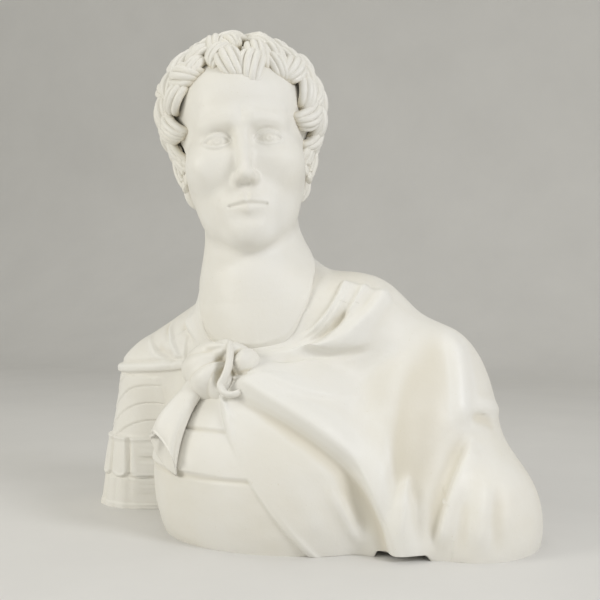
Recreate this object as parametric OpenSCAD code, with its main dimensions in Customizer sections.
// Draped bust, cast hollow in six plaster sections and stiffened inside with wood.
// The sitter faces -Y, +X is the sitter's left, +Z is up, and the rim stands on z = 0.

/* [Torso] */
// Width over both arms
torso_w = 689; // [574:1:827]
// Depth from chest to back
torso_d = 367; // [306:1:441]
// Height of the shoulders above the rim
torso_h = 382; // [318:1:459]
// Thickness of the plaster wall
wall = 22; // [18:1:26]
// Height of the lifting notch in the front rim
notch_h = 8; // [4:1:14]
// Width of the lifting notch
notch_w = 70; // [40:1:90]

/* [Head] */
// Height from chin to crown, hair included
head_h = 322; // [280:1:386]
// Breadth of the head, hair included
head_w = 250; // [210:1:290]
// Length of the head from brow to nape, hair included
head_d = 284; // [240:1:330]
// Turn of the face towards the sitter's left, in degrees
head_turn = 22; // [0:1:30]
// Lean of the crown towards the sitter's right, in degrees
head_lean = 5; // [0:1:8]
// Radius of the neck
neck_r = 70; // [60:1:74]
// Radius of the sealed hollow in the head
hollow_r = 66; // [40:1:76]

/* [Neck joint] */
// Radius of the round seat in the shoulders
seat_r = 82; // [78:1:90]
// Depth of the tenon below the collar
tenon_h = 46; // [36:1:60]
// Forward tilt of the seat, in degrees
seat_tilt = 31; // [24:1:36]

/* [Knot and tail] */
// Radius of the knot's round seat
knot_r = 52; // [43:1:63]
// Height of the knot above its seat
knot_h = 46; // [36:1:56]
// Length of the hanging end
tail_l = 90; // [80:1:118]
// Radius of the hanging end at its mouth
tail_r = 31; // [24:1:34]
// Radius of the hanging end at the knot
tail_top_r = 15; // [12:1:18]
// Wall of the rolled cloth at the mouth
tail_wall = 6; // [4:1:9]

/* [Wood] */
// Width of the battens
batten_w = 40; // [30:1:48]
// Thickness of the battens
batten_t = 20; // [16:1:26]
// Height of the lower batten above the rim
batten_z = 50; // [40:1:70]
// Radius of the neck post
post_r = 18; // [14:1:20]
// Thickness of the plaster pads on the batten ends
pad_t = 20; // [14:1:24]

/* [Fixings] */
// Radius of the steel dowels
dowel_r = 4; // [3:0.5:5]
// Length of the steel dowels
dowel_l = 56; // [44:1:60]
// Radius of the pins behind the knot and its tail
pin_r = 3; // [2:0.5:4]
// Length of those pins
pin_l = 30; // [26:1:34]
// Clearance round a fixing
fit_gap = 0.1; // [0.05:0.05:0.3]
// Clearance round a bedded joint
bed_gap = 0.4; // [0.2:0.1:0.8]

/* [Hidden] */

plaster = [0.93, 0.92, 0.88];
pine = [0.72, 0.56, 0.36];
steel = [0.58, 0.60, 0.62];
$fn = 64;

// The masses are laid out for a torso of this size, and are stretched to the size asked for.
layout = [689, 367, 382];
middle = [4.75, -6.53];      // brings the middle of the torso's box over the origin
stretch = [torso_w / layout.x, torso_d / layout.y, torso_h / layout.z];

around = 72;                 // columns of the shell's grid
levels = 24;                 // rows of the shell's grid
column = 360 / around;
steps = 22;                  // steps of each ray towards the surface
reach = 470;                 // a ray starts this far out, clear of every mass
stride = 0.9;                // share of the distance that a step takes

// Columns and rows where the sections meet.
right_front = 42;
right_back = 34;
left_front = 64;
left_back = 77;
right_top = 13;
left_top = 11;
seam_right = 38;             // seam over the right shoulder
seam_left = 70;              // seam over the left shoulder

// Where the rays start: low in the back at the rim, and under the neck at the top.
low_share = 0.4;
low_axis = [-10, 100];
low_h = 140;
neck_centre = [-42, -20, 292];
under_neck = 90;
fan_angle = 54;

// ---------- the torso's form ----------
function ball(p, c, r) =
    let (q = p - c, a = [q.x / r.x, q.y / r.y, q.z / r.z],
         b = [a.x / r.x, a.y / r.y, a.z / r.z], k = norm(a), m = norm(b))
    m < 0.000001 ? -min(r) : k * (k - 1) / m;

function limb(p, a, b, ra, rb) =
    let (d = b - a, h = min(1, max(0, (p - a) * d / (d * d))))
    norm(p - a - h * d) - (ra + (rb - ra) * h);

// Two masses run into each other over a blend of about k.
function join(a, b, k) =
    let (h = min(1, max(0, 0.5 + 0.5 * (b - a) / k)))
    b * (1 - h) + a * h - k * h * (1 - h);

function chest(p) = ball(p, [-8, -15, 75], [190, 162, 185]);
function back(p) = ball(p, [0, 70, 110], [225, 120, 190]);
function right_yoke(p) = limb(p, [-222, 60, 203], [-80, 18, 274], 71, 74);
function left_yoke(p) = limb(p, [158, 44, 206], [78, 24, 272], 80, 78);
function left_nape(p) = limb(p, [78, 24, 272], [-20, 5, 312], 76, 60);
function cloak_front(p) = ball(p, [168, -30, 60], [75, 98, 170]);
function neck_root(p) = limb(p, [-45, 10, 240], [-50, -10, 330], 92, 72);
function left_upper_arm(p) = ball(p, [200, 35, 105], [82, 105, 165]);
function left_forearm(p) = ball(p, [252, 0, 25], [88, 112, 105]);
function right_arm(p) = limb(p, [-250, 66, 186], [-280, 74, -20], 62, 72);

function trunk(p) = join(join(chest(p), back(p), 50), right_yoke(p), 40);
function shoulders(p) = join(join(join(trunk(p), left_yoke(p), 40), left_nape(p), 30), neck_root(p), 40);
function cloaked(p) = join(join(shoulders(p), left_upper_arm(p), 45), cloak_front(p), 30);
function form(p) = join(join(cloaked(p), left_forearm(p), 40), right_arm(p), 22);

// ---------- the grid on that form ----------
function ease(w) = w * w * (3 - 2 * w);
function scaled(p) = [(p.x + middle.x) * stretch.x, (p.y + middle.y) * stretch.y, p.z * stretch.z];
function laid(p) = [p.x / stretch.x - middle.x, p.y / stretch.y - middle.y, p.z / stretch.z];
function depth(p) = form(laid(p)) * min(stretch);
function unit(v) = v / norm(v);

seat = scaled(neck_centre);
seat_up = [0, -sin(seat_tilt), cos(seat_tilt)];
fan_end = neck_centre - under_neck * seat_up;

function fan(t) = min(1, max(0, (t - low_share) / (1 - low_share)));
function origin(t) =
    let (w = ease(fan(t)), z = low_h * min(1, t / low_share))
    scaled([low_axis.x + (fan_end.x - low_axis.x) * w, low_axis.y + (fan_end.y - low_axis.y) * w,
            z + (fan_end.z - low_h) * w]);
function heading(a, t) =
    let (tilt = seat_tilt * ease(fan(t)), rise = fan_angle * fan(t))
    [cos(rise) * cos(a), cos(rise) * sin(a) * cos(tilt) - sin(rise) * sin(tilt),
     cos(rise) * sin(a) * sin(tilt) + sin(rise) * cos(tilt)];
// The distance r at which the ray from o along d lies inset mm under the surface.
function walk(o, d, r, inset, n) =
    n == 0 ? r : walk(o, d, max(0, r - stride * (depth(o + d * r) + inset)), inset, n - 1);
function skin(i, j, inset) =
    let (t = j / levels, o = origin(t), d = heading(i * column, t))
    o + d * walk(o, d, reach * max(stretch), inset, steps);

// A closed shell between two insets, over those cells of the grid that cell(i, j) lets in.
module shell(i0, i1, j0, j1, outer, inner, cell) {
    ni = i1 - i0 + 1;
    nj = j1 - j0 + 1;
    points = [for (inset = [outer, inner], i = [i0:i1], j = [j0:j1]) skin(i, j, inset)];
    function at(side, i, j) = (side * ni + i - i0) * nj + j - j0;
    function within(i, j) = i >= i0 && i < i1 && j >= j0 && j < j1 && cell(i, j);
    faces = [for (i = [i0:i1 - 1], j = [j0:j1 - 1]) if (within(i, j)) each [
        [at(0, i, j), at(0, i, j + 1), at(0, i + 1, j + 1), at(0, i + 1, j)],
        [at(1, i, j), at(1, i + 1, j), at(1, i + 1, j + 1), at(1, i, j + 1)],
        if (!within(i - 1, j)) [at(0, i, j), at(1, i, j), at(1, i, j + 1), at(0, i, j + 1)],
        if (!within(i + 1, j))
            [at(0, i + 1, j), at(0, i + 1, j + 1), at(1, i + 1, j + 1), at(1, i + 1, j)],
        if (!within(i, j - 1)) [at(0, i, j), at(0, i + 1, j), at(1, i + 1, j), at(1, i, j)],
        if (!within(i, j + 1))
            [at(0, i, j + 1), at(1, i, j + 1), at(1, i + 1, j + 1), at(0, i + 1, j + 1)]]];
    polyhedron(points, faces);
}

// A closed solid over stacked rings of n points, with a flat or fanned cap at either end.
module loft(rings) {
    n = len(rings[0]);
    last = len(rings) - 1;
    base = [for (k = [0:n - 1]) k];
    top = [for (k = [n - 1:-1:0]) last * n + k];
    sides = [for (m = [0:last - 1], k = [0:n - 1])
        [m * n + k, (m + 1) * n + k, (m + 1) * n + (k + 1) % n, m * n + (k + 1) % n]];
    polyhedron([for (ring = rings) each ring], concat([base], sides, [top]));
}

// Stands children on p with their +Z along v.
module along(p, v) {
    translate(p)
        rotate([0, acos(v.z / norm(v)), atan2(v.y, v.x)])
            children();
}

// ---------- the head ----------
head_layout = [250, 284, 322];
head_stretch = [head_w / head_layout.x, head_d / head_layout.y, head_h / head_layout.z];
head_centre = seat + [-33, 12, 87 + head_h / 2];
head_around = 60;            // columns of the head's grid
crown_rows = 10;             // rows over the crown
side_rows = 40;              // rows from the tenon to the temples
temple_h = 40;               // height of the temples over the head's middle
tenon_drop = 90;             // the lowest row, below the seat
head_reach = 260;            // a ray of the head starts this far out
nape_reach = 130;            // and below the chin it starts this close
pole_angle = 86;

function turned(p, a) = [p.x * cos(a) - p.y * sin(a), p.x * sin(a) + p.y * cos(a), p.z];
function leant(p, a) = [p.x * cos(a) + p.z * sin(a), p.y, -p.x * sin(a) + p.z * cos(a)];
function to_world(p) = head_centre + leant(turned(p, head_turn), -head_lean);
function to_head(p) = turned(leant(p - head_centre, head_lean), -head_turn);

function hair(p) = ball(p, [0, 16, 50], [124, 126, 108]);
function face(p) = join(ball(p, [0, -28, -46], [82, 86, 110]), ball(p, [0, -52, -112], [56, 56, 48]), 24);
function brow(p) = limb(p, [-36, -96, 14], [36, -96, 14], 14, 14);
function nose(p) = limb(p, [0, -108, 2], [0, -120, -46], 8, 13);
function mouth(p) = limb(p, [-17, -100, -84], [17, -100, -84], 9, 9);
function chin(p) = ball(p, [0, -92, -134], [28, 24, 22]);
function ears(p) = let (q = [abs(p.x), p.y, p.z]) ball(q, [92, 4, -30], [12, 22, 34]);
function features(p) =
    join(join(join(join(face(p), brow(p), 12), nose(p), 12), mouth(p), 12), chin(p), 16);
function skull(p) = join(join(features(p), hair(p), 16), ears(p), 8);

// The bare chest inside the collar is a low dome on the round seat.
dome_drop = 50;
dome_r = [110, 62];
seat_local = to_head(seat);
seat_up_local = unit(to_head(seat + seat_up) - seat_local);
function dome(p) =
    let (q = p - seat_local + dome_drop * seat_up_local, h = q * seat_up_local,
         r = norm(q - h * seat_up_local), k = norm([r / dome_r.x, h / dome_r.y]))
    (k - 1) * dome_r.y;
function neck(p) = limb(p, seat_local, [0, 12, -96], neck_r, neck_r - 4);
function bust_form(p) =
    let (q = [p.x / head_stretch.x, p.y / head_stretch.y, p.z / head_stretch.z])
    join(join(skull(q) * min(head_stretch), neck(p), 18), dome(p), 20);

function bust_walk(o, d, r, n) =
    n == 0 ? r : bust_walk(o, d, max(0, r - stride * bust_form(o + d * r)), n - 1);
function bust_ring(o, rise, far) = [for (k = [0:head_around - 1])
    let (a = k * 360 / head_around, d = [cos(rise) * cos(a), cos(rise) * sin(a), sin(rise)])
    to_world(o + d * bust_walk(o, d, far, steps + 6))];

temple = temple_h * head_stretch.z;
low_row = seat_local.z - tenon_drop;
chin_h = -head_h / 2;
bust_rings = concat(
    [for (k = [0:side_rows - 1])
        let (z = low_row + (temple - low_row) * k / side_rows)
        bust_ring([0, 0, z], 0, z < chin_h - 10 ? nape_reach : head_reach)],
    [for (k = [0:crown_rows]) bust_ring([0, 0, temple], pole_angle * k / crown_rows, head_reach)]);

// The post runs straight up under the neck.
post = [seat.x, seat.y + 14];
post_foot = batten_z + 2 * batten_t;
post_top = seat.z + 130;
hollow = to_world([0, 12, 20]);
post_bore = post_r + fit_gap;
clear_h = 60;                // the neck keeps inside its round seat up to here

module head() {
    color(plaster)
        difference() {
            intersection() {
                loft(bust_rings);
                along(seat, seat_up)
                    union() {
                        translate([0, 0, -tenon_h])
                            cylinder(h = tenon_h + clear_h + 2, r = seat_r - bed_gap);
                        translate([0, 0, clear_h])
                            cylinder(h = 2 * head_h, r = 2 * head_w);
                    }
            }
            translate([post.x, post.y, 0])
                cylinder(h = hollow.z, r = post_bore);
            translate(hollow)
                sphere(r = hollow_r);
        }
}

// ---------- the four sections ----------
// Each joint is a column and a row of the grid, then the way across the seam.
right_joints = [[right_front, 5, 1, 0], [right_back, 5, 1, 0], [36, right_top, 0, 1], [40, right_top, 0, 1]];
left_joints = [[left_front, 4, 1, 0], [left_back, 4, 1, 0], [67, left_top, 0, 1], [73, left_top, 0, 1]];
shoulder_joints = [[seam_right, 16, 1, 0], [seam_right, 20, 1, 0], [seam_left, 15, 1, 0],
                   [seam_left, 19, 1, 0]];

module dowels(joints, r, l) {
    for (m = joints) {
        a = skin(m[0] - m[2], m[1] - m[3], wall / 2);
        b = skin(m[0] + m[2], m[1] + m[3], wall / 2);
        along((a + b) / 2, b - a)
            cylinder(h = l, r = r, center = true);
    }
}

module dowel_holes(joints) {
    dowels(joints, dowel_r + fit_gap, dowel_l + 2 * fit_gap);
}

module neck_seat() {
    along(seat, seat_up)
        translate([0, 0, -tenon_h - wall])
            cylinder(h = 4 * tenon_h, r = seat_r);
}

module front_section() {
    color(plaster)
        difference() {
            shell(seam_right, seam_left, 0, levels, 0, wall, function(i, j)
                (i >= right_front || j >= right_top) && (i < left_front || j >= left_top));
            neck_seat();
            dowel_holes(concat(right_joints, left_joints, shoulder_joints));
            cloth_pin_set(pin_r + fit_gap, pin_l + 2 * fit_gap);
            lifting_notch();
        }
}

module back_section() {
    color(plaster)
        difference() {
            shell(seam_left, seam_right + around, 0, levels, 0, wall, function(i, j)
                (i >= left_back || j >= left_top) && (i < right_back + around || j >= right_top));
            neck_seat();
            dowel_holes(concat(right_joints, left_joints, shoulder_joints));
        }
}

module right_arm_section() {
    color(plaster)
        difference() {
            shell(right_back, right_front, 0, right_top, 0, wall, function(i, j) true);
            dowel_holes(right_joints);
            cross_bar(bed_gap);
        }
}

module left_arm_section() {
    color(plaster)
        difference() {
            shell(left_front, left_back, 0, left_top, 0, wall, function(i, j) true);
            dowel_holes(left_joints);
            cross_bar(bed_gap);
            lifting_notch();
        }
}

// A low notch under the front rim, where the bust is lifted from its stand.
notch_column = 62.5;
module lifting_notch() {
    along(skin(notch_column, 0, wall / 2), heading(notch_column * column, 0))
        rotate([0, 0, 90])
            translate([-notch_w / 2, -notch_h, -2 * wall])
                cube([notch_w, 2 * notch_h, 4 * wall]);
}

// ---------- the knot and its hanging end ----------
// Both lie on the chest, and are drawn in a plane that touches it at the knot.
knot_column = 50.2;
knot_row = 15.8;
lift = 90;                   // a drop onto the chest starts this far over the plane
sink = 80;                   // and ends this far under it
lip = 2;                     // thickness of the cloth's edge
knot_tall = 0.84;            // height of the knot's outline over its width
tail_turn = 255;             // direction of the hanging end, from the knot's own +X
tail_way = [cos(tail_turn), sin(tail_turn)];
tail_start = 0.7 * knot_r;   // the knot's outline makes room for it there
tail_flat = 0.62;            // height of the hanging end over its half width
tail_cup = 0.55;             // share of its length that is hollow
cloth_pins_at = [[-22, 0], [22, 0], (tail_start + 14) * tail_way, (tail_start + 38) * tail_way];

knot_up = unit(cross(skin(knot_column + 1, knot_row, 0) - skin(knot_column - 1, knot_row, 0),
                     skin(knot_column, knot_row + 1, 0) - skin(knot_column, knot_row - 1, 0)));
knot_x = unit(cross([0, 0, 1], knot_up));
knot_y = cross(knot_up, knot_x);
knot_at = skin(knot_column, knot_row, 0);
// The point over the plane's (x, y) that lies h mm clear of the chest.
function settle(x, y, h) =
    let (o = knot_at + x * knot_x + y * knot_y - sink * knot_up)
    o + knot_up * walk(o, knot_up, lift + sink, -h, steps);

knot_rings = 6;
knot_sides = 32;
function knot_out(a) = 1 - 0.3 * pow(max(0, cos(a - tail_turn)), 6);
function knot_lump(a) = 1 - 0.22 * pow(cos(a + 20), 6) - 0.16 * pow(sin(a - 35), 8);
function knot_rise(share, a) =
    lip + (knot_h - lip) * sqrt(1 - share * share) * (1 - share * (1 - knot_lump(a)));
function knot_ring(share, top) = [for (k = [0:knot_sides - 1])
    let (a = k * 360 / knot_sides, r = knot_r * knot_out(a) * share)
    settle(r * cos(a), knot_tall * r * sin(a), top ? knot_rise(share, a) : bed_gap)];

module cloak_knot() {
    color(plaster)
        difference() {
            loft(concat([for (k = [1:knot_rings]) knot_ring(k / knot_rings, false)],
                        [for (k = [0:knot_rings]) knot_ring(cos(k * 85 / knot_rings), true)]));
            cloth_pin_set(pin_r + fit_gap, pin_l + 2 * fit_gap);
        }
}

tail_steps = 9;
tail_sides = 24;
function tail_half(share) = tail_top_r + (tail_r - tail_top_r) * share;
// One ring of the hanging end, taken in by inner mm on every side.
function tail_ring(share, inner) =
    let (w = tail_half(share), far = tail_start + tail_l * share,
         c = settle(far * tail_way.x, far * tail_way.y, tail_flat * w + bed_gap),
         side = tail_way.x * knot_y - tail_way.y * knot_x)
    [for (k = [0:tail_sides - 1])
        let (a = k * 360 / tail_sides)
        c + (w - inner) * cos(a) * side + (tail_flat * w - inner) * sin(a) * knot_up];

module cloak_tail() {
    color(plaster)
        difference() {
            loft(concat([for (k = [0:tail_steps]) tail_ring(k / tail_steps, 0)],
                        [for (k = [0:tail_steps]) tail_ring(1 - tail_cup * k / tail_steps, tail_wall)]));
            cloth_pin_set(pin_r + fit_gap, pin_l + 2 * fit_gap);
        }
}

module cloth_pin_set(r, l) {
    for (p = cloth_pins_at)
        along(settle(p.x, p.y, 0), knot_up)
            cylinder(h = l, r = r, center = true);
}

module cloth_pins() {
    color(steel)
        cloth_pin_set(pin_r, pin_l);
}

module section_dowels() {
    color(steel)
        dowels(concat(right_joints, left_joints, shoulder_joints), dowel_r, dowel_l);
}

// ---------- the wooden frame inside ----------
batten_y = scaled([0, 60, 0]).y;
batten_row = 4;
bite = 0.4 * pad_t;          // how far a batten's end goes into its pad
pad_inset = wall + pad_t - bite;
cross_lo = skin(37.5, batten_row, pad_inset).x;
cross_hi = skin(70.5, batten_row, pad_inset).x;
depth_lo = skin(52.5, batten_row + 1, pad_inset).y;
depth_hi = skin(22.5, batten_row + 1, pad_inset).y;
depth_z = batten_z + batten_t;

module cross_bar(gap) {
    translate([cross_lo - gap, batten_y - batten_w / 2 - gap, batten_z - gap])
        cube([cross_hi - cross_lo + 2 * gap, batten_w + 2 * gap, batten_t + 2 * gap]);
}

module depth_bar(gap) {
    translate([post.x - batten_w / 2 - gap, depth_lo - gap, depth_z - gap])
        cube([batten_w + 2 * gap, depth_hi - depth_lo + 2 * gap, batten_t + 2 * gap]);
}

// Each pad is a patch of the wall's own grid, so it beds against the wall all over.
module pad(i0, i1, j0, j1) {
    color(plaster)
        difference() {
            shell(i0, i1, j0, j1, wall, wall + pad_t, function(i, j) true);
            cross_bar(bed_gap);
            depth_bar(bed_gap);
        }
}

module right_pad() { pad(36, 39, 2, 7); }
module left_pad() { pad(69, 72, 2, 7); }
module front_pad() { pad(51, 54, 3, 8); }
module back_pad() { pad(18, 27, 3, 8); }

screw_l = 32;
screw_r = 2;
screw_head = 4;
screw_inset = 13;
collar_r = post_r + 16;
collar_h = 26;
screws_at = [for (side = [-1, 1]) each [
    [post.x + side * screw_inset, batten_y, depth_z + batten_t],
    [post.x + side * (post_r + 9), post.y, post_foot + collar_h]]];

module screw_set(gap) {
    for (p = screws_at)
        translate([p.x, p.y, p.z - screw_l - gap]) {
            cylinder(h = screw_l + 2 * gap, r = screw_r + gap);
            translate([0, 0, screw_l - screw_r])
                cylinder(h = screw_r + 2 * gap, r1 = screw_r + gap, r2 = screw_head + gap);
        }
}

module screws() {
    color(steel)
        screw_set(0);
}

module cross_batten() {
    color(pine)
        difference() {
            cross_bar(0);
            screw_set(fit_gap);
        }
}

module depth_batten() {
    color(pine)
        difference() {
            depth_bar(0);
            screw_set(fit_gap);
        }
}

module neck_post() {
    color(pine)
        translate([post.x, post.y, post_foot])
            cylinder(h = post_top - post_foot, r = post_r);
}

module post_collar() {
    color(pine)
        difference() {
            translate([post.x, post.y, post_foot])
                cylinder(h = collar_h, r = collar_r);
            translate([post.x, post.y, post_foot - 1])
                cylinder(h = collar_h + 2, r = post_r + fit_gap);
            screw_set(fit_gap);
        }
}

head();
front_section();
back_section();
right_arm_section();
left_arm_section();
cloak_knot();
cloak_tail();
cross_batten();
depth_batten();
neck_post();
post_collar();
right_pad();
left_pad();
front_pad();
back_pad();
section_dowels();
cloth_pins();
screws();
